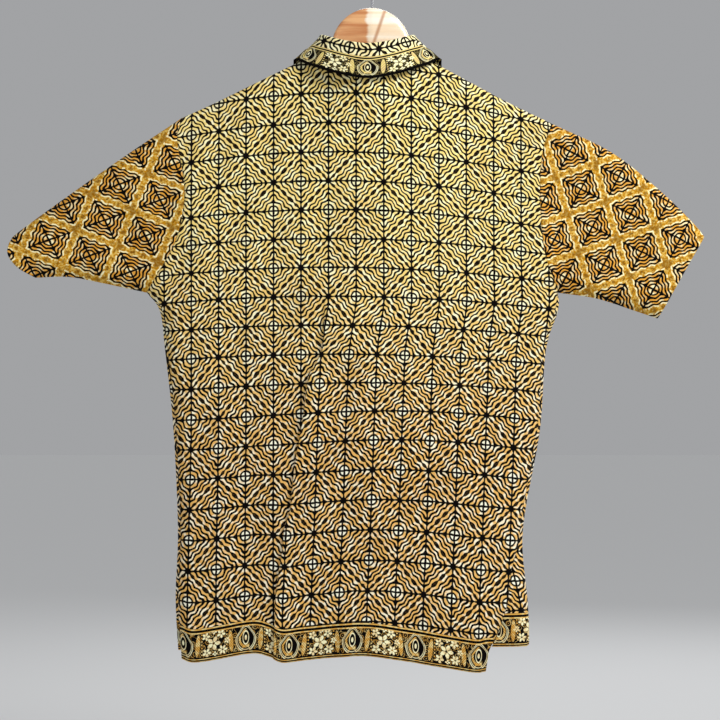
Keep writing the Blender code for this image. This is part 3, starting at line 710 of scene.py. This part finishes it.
def hanger_wood():
    """Rounded sections from the end of one arm over the crown to the end of the other."""
    arm = np.array(ARM, float)
    arm_across = curve(arm[:, :1], even(40))[:, 0]
    crown_across = CROWN_RADIUS * np.sin(np.linspace(0, math.pi / 2, 40)[:-1])
    half = np.r_[crown_across, arm_across]
    crown_top = CROWN_RADIUS - np.sqrt(CROWN_RADIUS ** 2 - crown_across ** 2)
    top = np.r_[crown_top, np.interp(arm_across, arm[:, 0], arm[:, 1])]
    hollow = CROWN_HOLLOW * np.cos(crown_across / HOLLOW_HALF)
    bottom = np.r_[arm[0, 2] - hollow, np.interp(arm_across, arm[:, 0], arm[:, 2])]
    across = np.r_[-half[:0:-1], half]
    top, bottom = np.r_[top[:0:-1], top], np.r_[bottom[:0:-1], bottom]
    lean = np.minimum(HANGER_BEND * np.abs(across) - HANGER_SET_BACK, middle(across))
    rounding = np.minimum(7.0, (bottom - top) / 3)
    sections = []
    for turn in round_turn(WOOD_TURNS):
        thick, low = [math.copysign(abs(share) ** WOOD_SQUARENESS, share)
                      for share in (-math.sin(turn), -math.cos(turn))]
        height = (top + bottom) / 2 + low * (bottom - top) / 2
        height = np.clip(height, top, bottom)
        narrow = 1 - 0.12 * smooth(1 - (height - top) / rounding)
        sections.append(np.column_stack([across, lean + WOOD_HALF * thick * narrow, height]))
    grid = tilt(np.stack(sections, axis=1))
    return join("hanger_wood", [(*rings(world(grid)), 0)], [WOOD])


def hanger_hook():
    centre_drop = -CROWN - WIRE_RADIUS + HOOK_RADIUS
    bend_drop = centre_drop + HOOK_RADIUS + HOOK_BEND
    path = [(0, 0, drop) for drop in np.linspace(-0.4, bend_drop, 12)]
    for angle in np.linspace(0, math.pi / 2, 12)[1:]:
        path.append((HOOK_BEND * (1 - math.cos(angle)), 0,
                     bend_drop - HOOK_BEND * math.sin(angle)))
    for angle in np.linspace(-math.pi / 2, HOOK_END, 70)[4:]:
        path.append((HOOK_RADIUS * math.cos(angle), 0,
                     centre_drop - HOOK_RADIUS * math.sin(angle)))
    path = np.array(path)
    path[:, 1] = -HANGER_SET_BACK
    return join("hanger_hook", [(*tube(path, WIRE_RADIUS, 24), 0)], [STEEL])


# ------------ shader arithmetic
class Field:
    """A value carried by shader nodes; arithmetic on it adds Math nodes to its tree."""

    def __init__(self, tree, socket):
        self.tree, self.socket = tree, socket

    def __add__(self, other):
        return math_node("ADD", self, other)

    def __radd__(self, other):
        return math_node("ADD", other, self)

    def __sub__(self, other):
        return math_node("SUBTRACT", self, other)

    def __rsub__(self, other):
        return math_node("SUBTRACT", other, self)

    def __mul__(self, other):
        return math_node("MULTIPLY", self, other)

    def __truediv__(self, other):
        return math_node("DIVIDE", self, other)


def tree_of(values):
    return next(value.tree for value in values if isinstance(value, Field))


def feed(tree, socket, value):
    if isinstance(value, Field):
        tree.links.new(value.socket, socket)
    else:
        socket.default_value = value


def set_inputs(node, values):
    for label, value in values.items():
        node.inputs[label].default_value = value


def math_node(operation, *values):
    tree = tree_of(values)
    node = tree.nodes.new("ShaderNodeMath")
    node.operation = operation
    for socket, value in zip(node.inputs, values):
        feed(tree, socket, value)
    return Field(tree, node.outputs[0])


def size_of(value):
    return math_node("ABSOLUTE", value)


def lesser(a, b):
    return math_node("MINIMUM", a, b)


def greater(first, *others):
    """The greatest of all the values."""
    for other in others:
        first = math_node("MAXIMUM", first, other)
    return first


def cosine(value):
    return math_node("COSINE", value)


def power(value, exponent):
    return math_node("POWER", value, exponent)


def length_of(x, y):
    return power(x * x + y * y, 0.5)


def from_whole(value, period=1.0):
    """How far a value is from the nearest multiple of the period."""
    return math_node("PINGPONG", value, period / 2)


def centred(value, period):
    """The same distance with its sign."""
    return math_node("WRAP", value, period / 2, -period / 2)


def step_up(value, start, end):
    """0 below start and 1 above end, or the other way round where end is the lower."""
    tree = value.tree
    node = tree.nodes.new("ShaderNodeMapRange")
    node.interpolation_type = "SMOOTHSTEP"
    feed(tree, node.inputs["Value"], value)
    set_inputs(node, {"From Min": start, "From Max": end})
    return Field(tree, node.outputs["Result"])


def above(value, edge, soft=0.01):
    return step_up(value, edge - soft, edge + soft)


def below(value, edge, soft=0.01):
    return step_up(value, edge + soft, edge - soft)


def band(value, centre, half_width, soft):
    """1 within half_width of the centre."""
    return below(size_of(value - centre), half_width, soft)


def blend(share, first, second, kind="MIX"):
    """A colour between two, each a field or three numbers."""
    tree = share.tree
    node = tree.nodes.new("ShaderNodeMix")
    node.data_type = "RGBA"
    node.blend_type = kind
    feed(tree, node.inputs["Factor"], share)
    for socket, colour in zip(node.inputs[6:8], (first, second)):
        feed(tree, socket, colour if isinstance(colour, Field) else (*colour, 1))
    return Field(tree, node.outputs[2])


def uv_map(tree, label):
    node = tree.nodes.new("ShaderNodeUVMap")
    node.uv_map = label
    split = tree.nodes.new("ShaderNodeSeparateXYZ")
    tree.links.new(node.outputs["UV"], split.inputs[0])
    return Field(tree, split.outputs["X"]), Field(tree, split.outputs["Y"])


def joined(x, y):
    tree = tree_of((x, y))
    node = tree.nodes.new("ShaderNodeCombineXYZ")
    feed(tree, node.inputs["X"], x)
    feed(tree, node.inputs["Y"], y)
    return Field(tree, node.outputs[0])


def noise(vector, scale, detail=2.0, dimensions="2D"):
    tree = vector.tree
    node = tree.nodes.new("ShaderNodeTexNoise")
    node.noise_dimensions = dimensions
    feed(tree, node.inputs["Vector"], vector)
    set_inputs(node, {"Scale": scale, "Detail": detail})
    return Field(tree, node.outputs["Fac"])


def cells(vector, scale):
    """Distance to the nearest of many scattered points."""
    tree = vector.tree
    node = tree.nodes.new("ShaderNodeTexVoronoi")
    node.voronoi_dimensions = "2D"
    feed(tree, node.inputs["Vector"], vector)
    set_inputs(node, {"Scale": scale})
    return Field(tree, node.outputs["Distance"])


def linear(red, green, blue):
    """Linear light values of a colour given as on a screen, from 0 to 255."""
    return tuple(((c / 255 + 0.055) / 1.055) ** 2.4 if c > 10 else c / 255 / 12.92
                 for c in (red, green, blue))


# ------------ the batik figure
INK = linear(5, 3, 2)
BROWN_INK = linear(58, 42, 22)
SMUDGE = linear(216, 190, 150)
BORDER_GOLD, BORDER_STRAW = linear(222, 168, 78), linear(240, 212, 140)
COLLAR_GOLD = linear(248, 226, 140)
CREAM, LOW_CREAM = linear(255, 250, 204), linear(255, 252, 230)
# Gold of the upper and of the lower body; the lower one is more orange, partly the print's own
# tone, and darker, which is painted shade towards the hem.
GOLD_HIGH = linear(243, 208, 98)
SHADED_LOW_GOLD = linear(232, 178, 80)
SLEEVE_GOLD = linear(226, 162, 62)
MUSTARD = linear(190, 132, 18)
PALE_MUSTARD = linear(234, 200, 104)
UMBER = linear(120, 76, 10)

BODY_SPACING, SLEEVE_SPACING = 0.183, 0.173    # between the wavy lines, in repeats
FIRST_STRIPE = 0.315
STRIPE_HALF = 0.268     # half a light stripe's width, as a share of the spacing
LOW_HEAVIER, SLEEVE_HEAVIER = 0.042, 0.045    # what dark lines gain near the hem, on sleeves
SOFT_EDGE = 0.05        # of a stripe's edge, as a share of the spacing
LAST_STRIPE = 0.86      # from here out to the lenses is light
LENS_THIN, LENS_SWELL = 0.028, 0.064    # a lens line's least half width, and its swelling
WAVE_HEIGHT = 0.036
BODY_RING, SLEEVE_RING, RING_WIDTH = 0.207, 0.232, 0.064
AXIS_LINE, CROSS_LINE, STAR_REACH = 0.028, 0.035, 0.11
GOLD_BAND = 0.79        # the sleeves' bands begin this far out


def batik_figure(u, v, spacing, heavier, ring):
    """Masks of the figure: light stripes, the cream of the circles, and the long lenses.

    Circles stand where the column and row add up to an even number and stars at the
    others; wavy lines run round each circle, and lenses join star to star.
    """
    p, q = u + v, u - v
    a, b = from_whole(p, 2.0), from_whole(q, 2.0)
    far, near = greater(a, b), lesser(a, b)
    calmer = step_up(near, 0.45, 0.75) * 0.6
    wave = cosine(near * (4 * math.pi)) * (calmer - 1)
    radius = power((a * a + b * b) * 0.5, 0.5)
    axis_gap = (far - near) * 0.5
    rounding = greater(1 - far / 0.78, 0.0) * 0.85
    steps_out = far * (1 - rounding) + radius * rounding * 1.2 + wave * WAVE_HEIGHT
    phase = from_whole((steps_out - FIRST_STRIPE) / spacing)
    chevron = step_up(axis_gap, 0.08, 0.0) * 0.09
    light = below(phase + chevron + heavier, STRIPE_HALF, SOFT_EDGE)
    light = greater(light, below(steps_out, FIRST_STRIPE))
    trough = 0.5 - wave * 0.5
    swelling = (1 - trough * trough) * (1 - step_up(near, 0.55, 0.95))
    beyond = above(far + swelling * LENS_SWELL, 1 - LENS_THIN)
    star = length_of(1 - a, 1 - b) * math.sqrt(0.5)
    last = above(steps_out, LAST_STRIPE)
    light = greater(light, last * step_up(axis_gap, 0.02, 0.05))
    light = light * (1 - beyond) * above(radius, ring)
    light = light * above(axis_gap, AXIS_LINE) * above(star, STAR_REACH, 0.015)
    cream = below(radius, ring - RING_WIDTH) * above(axis_gap, CROSS_LINE, 0.009)
    return light, cream, beyond, star, wave, steps_out, far


Flower = namedtuple("Flower", "across up reach petals turn")
SPRAY = [
    Flower(-1, 22, 9.5, 5, 0.4), Flower(9, 33, 6.0, 5, 1.1), Flower(11, 12, 6.5, 6, 0.2),
    Flower(-10, 11, 6.2, 5, 0.9), Flower(-11, 32, 5.6, 5, 0.3), Flower(0, 37, 3.6, 4, 0.7),
    Flower(17, 23, 4.2, 5, 0.5), Flower(1, 8, 3.6, 4, 0.1),
]


def border_figure(x, y, filler_share, edge_lines):
    """Masks of the border, in millimetres along it and up from its edge.

    An oval with a leaf in it takes turns with a spray of flowers, between scrolls.
    """
    along = centred(x, BORDER_REPEAT)
    spray_x = centred(x + BORDER_REPEAT / 2, BORDER_REPEAT)
    side = size_of(along)
    narrowing = 1 + step_up(y, 22.0, 40.0) * 0.8
    oval = length_of(along * narrowing / 13.0, (y - 21.5) / 17.5)
    outline = greater(band(oval, 1.0, 0.045, 0.03), band(oval, 0.86, 0.025, 0.03))
    veins = band(from_whole(y + side * 1.3, 3.6), 0.0, 0.5, 0.3)
    crescent = band(oval, 0.62, 0.10, 0.03) * (1 - veins * 0.8)
    crescent = crescent * step_up(along + (y - 22) * 0.2, 4.0, 1.0)
    heart = length_of(along / 4.0, (y - 22.0) / 9.0)
    pearl = greater(band(heart, 0.95, 0.10, 0.05), step_up(heart, 0.42, 0.3))
    foot = band(side + (y - 12.0) * 0.5, 2.4, 0.5, 0.3) * step_up(y, 13.0, 12.0)
    leaf = length_of((side - 19.5 - (y - 20.0) * 0.08) / 3.2, (y - 21.0) / 15.0)
    leaf_mask = step_up(leaf, 1.02, 0.9) * (1 - veins * 0.7)
    beads = length_of(side - 25.0, centred(y, 4.4))
    bead_mask = step_up(beads, 1.15, 0.8)
    inside_oval = step_up(oval, 1.06, 1.0)
    flowers = None
    for flower in SPRAY:
        dx, dy = spray_x - flower.across, y - flower.up
        angle = math_node("ARCTAN2", dy, dx)
        far = length_of(dx, dy) / flower.reach
        lobes = cosine(angle * flower.petals + flower.turn) * 0.22 + 0.78
        petal = step_up(far / lobes, 1.02, 0.9) * step_up(far, 0.14, 0.24)
        petal = petal * step_up(lobes, 0.58, 0.64)
        flowers = petal if flowers is None else greater(flowers, petal)
    scatter = joined(x * MM, y * MM)
    curls = cells(scatter, 125.0)
    curl_lines = greater(band(curls, 0.36, 0.045, 0.03), step_up(curls, 0.10, 0.06))
    waver = noise(scatter, 95.0, 1.0)
    filler = greater(curl_lines, band(waver, 0.5, 0.012, 0.01)) * (1 - inside_oval)
    filler = filler * (1 - flowers)
    filler = filler * (1 - step_up(leaf, 1.25, 1.1)) * (1 - step_up(beads, 2.2, 1.8))
    rails = greater(band(y, BORDER_HEIGHT - 1.3, 0.9, 0.2), band(y, BORDER_HEIGHT - 6.2, 0.8, 0.2))
    # Without the lower gold lines the edge is left black: on the collar this is partly a real dark
    # line and partly painted shadow under its edge.
    if edge_lines:
        rails = greater(rails, band(y, 0.5, 0.6, 0.1), band(y, 3.4, 0.5, 0.15))
    field = step_up(y, 5.4, 5.8) * step_up(y, BORDER_HEIGHT - 6.4, BORDER_HEIGHT - 6.8)
    pale = greater(flowers, greater(outline, pearl) * inside_oval) * field
    figures = greater(leaf_mask, bead_mask, crescent, foot * inside_oval)
    return pale, greater(greater(figures, filler * filler_share) * field, rails)


# ------------ materials
THREAD_TURNS = 2 * math.pi / 0.0009     # radians of thread for each metre of cloth


def new_material(name):
    made = bpy.data.materials.new(name)
    made.use_nodes = True
    return made, made.node_tree, made.node_tree.nodes["Principled BSDF"]


def plain(name, colour, roughness, metallic=0.0, coat=0.0):
    made, tree, shader = new_material(name)
    set_inputs(shader, {"Base Color": (*colour, 1), "Roughness": roughness,
                        "Metallic": metallic, "Coat Weight": coat})
    return made


def weave(tree, shader, height, ink):
    """A fine plain weave in the bump, with the waxed lines a little sunk."""
    x, y = uv_map(tree, "place")
    threads = cosine(x * THREAD_TURNS) * cosine(y * THREAD_TURNS)
    slubs = noise(joined(x, y), 900.0, 2.0)
    relief = threads * 0.25 + slubs + ink * 0.3
    bump = tree.nodes.new("ShaderNodeBump")
    set_inputs(bump, {"Strength": 0.35, "Distance": height})
    feed(tree, bump.inputs["Height"], relief)
    tree.links.new(bump.outputs["Normal"], shader.inputs["Normal"])


def batik_cloth(name, gold_band=False, border=0.0, stretch=(1.0, 1.0), pale=0.0,
                filler=0.7, edge_lines=True, border_gold=BORDER_GOLD):
    """Printed cotton: the figure, and up to the height "border" the figured border.

    gold_band puts mustard bands between the figures, as on the sleeves; stretch fits the
    border to its height; pale, filler and border_gold set how light it all is.
    """
    made, tree, shader = new_material(name)
    u, v = uv_map(tree, "print")
    x, drop = uv_map(tree, "place")
    here = joined(u, v)
    place = joined(x, drop)
    shake_u = (noise(here, 5.0, 1.0) - 0.5) * 0.05
    shake_v = (noise(joined(u + 7.3, v - 2.1), 5.0, 1.0) - 0.5) * 0.05
    # low grows towards the hem: the gold turns more orange and darker and carries less cream,
    # partly the print's own tone and partly painted shade darker towards the hem.
    low = step_up(drop, 0.22, 0.62)
    if gold_band:
        spacing, heavier, ring = SLEEVE_SPACING, SLEEVE_HEAVIER, SLEEVE_RING
    else:
        spacing, heavier, ring = BODY_SPACING, low * LOW_HEAVIER, BODY_RING
    light, cream, beyond, star, wave, out, far = batik_figure(
        u + shake_u, v + shake_v, spacing, heavier, ring)
    flecks = step_up(noise(here, 4.2, 4.0), 0.45, 0.66)
    if gold_band:
        stripes = blend(flecks * 0.7, SLEEVE_GOLD, CREAM)
        is_band = greater(above(out, GOLD_BAND, 0.008), below(star, 0.175, 0.015))
        streak = step_up(noise(here, 12.0, 3.0), 0.43, 0.58)
        band_colour = blend(streak * 0.75, MUSTARD, PALE_MUSTARD)
        # Leaves along the middle of the band, pale edges, and rays round its crossings.
        leafy = step_up(wave, -0.3, 0.6) * step_up(far, 0.84, 0.96)
        leafy = leafy * step_up(noise(here, 11.0, 2.0), 0.68, 0.42) * 0.85
        band_colour = blend(leafy, band_colour, UMBER)
        edge = band(out, 0.835, 0.03, 0.02) * step_up(noise(here, 6.0, 2.0), 0.40, 0.54)
        band_colour = blend(edge, band_colour, CREAM)
        rays = cosine(math_node("ARCTAN2", u - v, u + v) * 16.0)
        petals = step_up(star, 0.20, 0.12) * step_up(rays, -0.2, 0.6) * 0.6
        band_colour = blend(petals, band_colour, UMBER)
        colour = blend(is_band, blend(light, INK, stripes), band_colour)
        colour = blend(cream, colour, blend(flecks, SLEEVE_GOLD, CREAM))
    else:
        gold = blend(low, GOLD_HIGH, SHADED_LOW_GOLD)
        share = flecks * 0.75 + 0.22 + pale * 0.4 - low * 0.14
        bright = blend(low, CREAM, LOW_CREAM)
        stripes = blend(lesser(share, 0.97), gold, bright)
        grainy = step_up(noise(here, 14.0, 2.0), 0.42, 0.6) * step_up(star, 0.14, 0.2)
        lens = blend(grainy * step_up(far, 0.95, 0.98), INK, BROWN_INK)
        colour = blend(light, blend(beyond, INK, lens), stripes)
        colour = blend(cream, colour, bright)
    if border:
        along, up = uv_map(tree, "edge")
        pale_mask, gold_mask = border_figure(along * (1000 * stretch[0]),
                                             up * (1000 * stretch[1]), filler, edge_lines)
        tint = step_up(noise(place, 150.0, 2.0), 0.45, 0.6)
        fringe = blend(gold_mask, INK, blend(tint, border_gold, BORDER_STRAW))
        fringe = blend(pale_mask, fringe, blend(tint * 0.45, CREAM, border_gold))
        colour = blend(below(up, border, 0.0002), colour, fringe)
    smudge = step_up(noise(place, 9.0, 4.0), 0.52, 0.75) * 0.25
    colour = blend(smudge, colour, SMUDGE, "MULTIPLY")
    feed(tree, shader.inputs["Base Color"], colour)
    set_inputs(shader, {"Roughness": 0.8, "Sheen Weight": 0.01, "Sheen Roughness": 0.5,
                        "Specular IOR Level": 0.06})
    weave(tree, shader, 0.0004, light)
    return made


STREAK_LEAN, STREAK_AT, STREAK_HALF = 0.344, 0.0393, 0.0021    # it crosses the crown slantwise
STREAK = linear(176, 114, 64)


def wood_finish():
    """Tan heartwood on the left of the crown; pale on its right, a painted highlight of the
    lacquer.
    """
    made, tree, shader = new_material("lacquered_wood")
    where = tree.nodes.new("ShaderNodeTexCoord")
    stretch = tree.nodes.new("ShaderNodeMapping")
    set_inputs(stretch, {"Scale": (5.0, 40.0, 110.0)})
    tree.links.new(where.outputs["Object"], stretch.inputs["Vector"])
    grain = noise(Field(tree, stretch.outputs[0]), 1.0, 5.0, "3D")
    split = tree.nodes.new("ShaderNodeSeparateXYZ")
    tree.links.new(where.outputs["Object"], split.inputs[0])
    x, z = Field(tree, split.outputs["X"]), Field(tree, split.outputs["Z"])
    share = step_up(grain, 0.35, 0.68)
    heartwood = blend(share, linear(194, 120, 66), linear(234, 178, 122))
    # Painted highlight: the lacquer's shine on the crown's right half, painted as a pale wood
    # colour.
    painted_highlight = blend(share, linear(242, 214, 178), linear(255, 246, 228))
    # The right half of the crown takes the painted highlight's pale colour.
    pale = step_up(x + (grain - 0.5) * 0.012, -0.009, -0.004)
    streak = band(x - z * STREAK_LEAN, STREAK_AT, STREAK_HALF, 0.0018)
    colour = blend(pale, heartwood, painted_highlight)
    colour = blend(streak * 0.75, colour, STREAK)
    feed(tree, shader.inputs["Base Color"], colour)
    set_inputs(shader, {"Roughness": 0.32, "Coat Weight": 0.9, "Coat Roughness": 0.08})
    return made


BODY_CLOTH = batik_cloth("body_print", border=BORDER_HEIGHT * MM)
SLEEVE_CLOTH = batik_cloth("sleeve_print", gold_band=True)
# The collar's lower edge is left black, partly a real dark line and partly painted shadow under
# the collar.
COLLAR_CLOTH = batik_cloth("collar_print", border=COLLAR_BORDER * MM,
                           stretch=(COLLAR_STRETCH, BORDER_HEIGHT / COLLAR_BORDER), pale=1.0,
                           filler=0.3, edge_lines=False, border_gold=COLLAR_GOLD)
WOOD = wood_finish()
STEEL = plain("plated_steel", linear(176, 176, 180), 0.26, metallic=1.0)
BUTTON = plain("brown_button", linear(96, 62, 36), 0.22, coat=0.5)
# Painted shade: the dark colour of the discs that stand for the button's holes.
PAINTED_HOLE_SHADE = plain("button_hole", linear(26, 16, 10), 0.6)
THREAD = plain("button_thread", linear(196, 160, 96), 0.8)

# ------------ putting it together
back, back_grid = back_panel()
left, left_grid = front_panel("front_left", LEFT, SIDE_SEAM_LEFT, FRONT_HEM_LEFT, 1, True,
                              (FIRST_COLUMN, FIRST_ROW))
right, right_grid = front_panel("front_right", RIGHT, SIDE_SEAM_RIGHT, FRONT_HEM_RIGHT, -1,
                                False, FRONT_PRINT_START)
left_sleeve = sleeve("sleeve_left", LEFT, -1, LEFT_SLEEVE_PRINT)
right_sleeve = sleeve("sleeve_right", RIGHT, 1, RIGHT_SLEEVE_PRINT)
collar_piece = collar(neck_seam(back_grid, left_grid, right_grid))
buttons = [button(number) for number in range(BUTTONS)]
wood = hanger_wood()
hook = hanger_hook()

for piece in (back, left, right, left_sleeve, right_sleeve, collar_piece, wood, hook, *buttons):
    node = piece.name.removesuffix(LOOK)
    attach(piece, "root")
    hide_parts(node)

# ------------ camera, floor and light
camera_data = bpy.data.cameras.new("Camera")
camera = bpy.data.objects.new("Camera", camera_data)
bpy.context.scene.collection.objects.link(camera)
bpy.context.scene.camera = camera
VIEW_WIDTH, VIEW_DISTANCE, VIEW_ACROSS, VIEW_HEIGHT = 0.943, 3.5, -0.016, -0.525
SENSOR, CLOTH_FORWARD = 36, 0.015
camera.location = (VIEW_ACROSS, -VIEW_DISTANCE, VIEW_HEIGHT)
camera.rotation_euler = (math.radians(90), 0, 0)
camera_data.sensor_width = SENSOR
camera_data.lens = SENSOR * (VIEW_DISTANCE - CLOTH_FORWARD) / VIEW_WIDTH

FLOOR_REACH, FLOOR_LEVEL = 14.0, -1.15
corners = [(x * FLOOR_REACH, y * FLOOR_REACH, FLOOR_LEVEL)
           for x, y in ((-1, -1), (1, -1), (1, 1), (-1, 1))]
floor_mesh = bpy.data.meshes.new("floor")
floor_mesh.from_pydata(corners, [], [(0, 1, 2, 3)])
floor_finish = plain("pale_floor", (0.34, 0.345, 0.35), 0.95)
floor_shader = floor_finish.node_tree.nodes["Principled BSDF"]
set_inputs(floor_shader, {"Emission Color": (0.98, 0.99, 1.0, 1), "Emission Strength": 0.235})
floor = add_object("floor", floor_mesh, [floor_finish])


def area_light(name, place, aim, size, power_watts, colour):
    data = bpy.data.lights.new(name, "AREA")
    data.size = size
    data.energy = power_watts
    data.color = colour
    lamp = bpy.data.objects.new(name, data)
    lamp.location = place
    lamp.rotation_euler = (Vector(aim) - Vector(place)).to_track_quat("-Z", "Y").to_euler()
    bpy.context.scene.collection.objects.link(lamp)


area_light("key", place=(1.45, -1.35, 0.95), aim=(0, 0, -0.35), size=0.8, power_watts=54,
           colour=(1.0, 0.985, 0.955))
area_light("fill", place=(-1.6, -1.9, 0.1), aim=(0, 0, -0.5), size=1.2, power_watts=7,
           colour=(0.95, 0.97, 1.0))
area_light("rear", place=(0.6, 2.2, 0.8), aim=(0, 0, -0.5), size=1.6, power_watts=34,
           colour=(1.0, 1.0, 1.0))
sky = bpy.data.worlds.new("sky")
sky.use_nodes = True
set_inputs(sky.node_tree.nodes["Background"], {"Color": (0.36, 0.365, 0.375, 1), "Strength": 1.0})
bpy.context.scene.world = sky
bpy.context.scene.view_settings.view_transform = "Standard"
